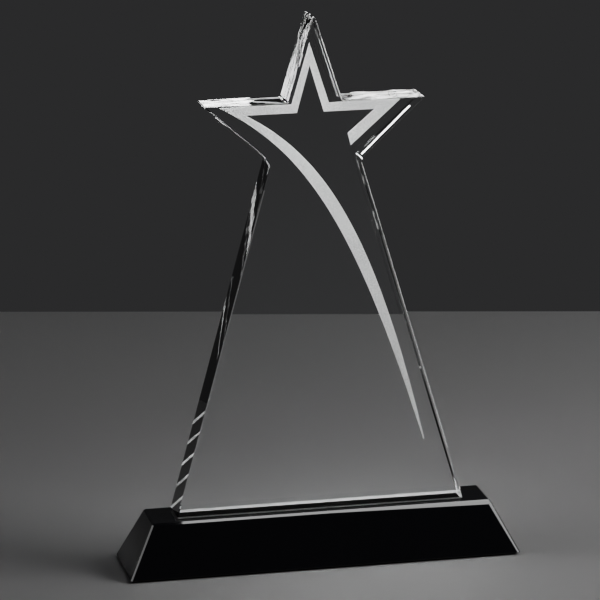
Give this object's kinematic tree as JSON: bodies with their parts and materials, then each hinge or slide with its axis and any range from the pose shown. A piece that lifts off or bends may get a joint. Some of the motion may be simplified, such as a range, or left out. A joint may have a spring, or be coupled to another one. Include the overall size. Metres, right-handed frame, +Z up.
{
  "type": "crystal award",
  "caption": "Clear crystal star plate with flared legs and a frosted star and sweeping tail on its back, glued upright on a sloping black crystal base.",
  "frame": {"origin": "on the surface that the award stands on, under the middle of the base", "axes": "+Z up along the height, X along the base's length, -Y towards the plain front face of the plate, +Y towards the frosted back face"},
  "size_m": [0.1908, 0.0454, 0.2656],
  "materials": {
    "clear_crystal": "polished clear optic crystal; the design on the back face is sandblasted to a fine white frost",
    "clear_adhesive": "thin clear UV-cured film",
    "black_crystal": "polished opaque black crystal with ground and polished arrises",
    "bumper": "matt soft bumper"
  },
  "bodies": {
    "root": {"star_plate": "clear_crystal", "bond_layer": "clear_adhesive", "base_block": "black_crystal", "foot_front_left": "bumper", "foot_front_right": "bumper", "foot_rear_left": "bumper", "foot_rear_right": "bumper"}
  },
  "joints": []
}
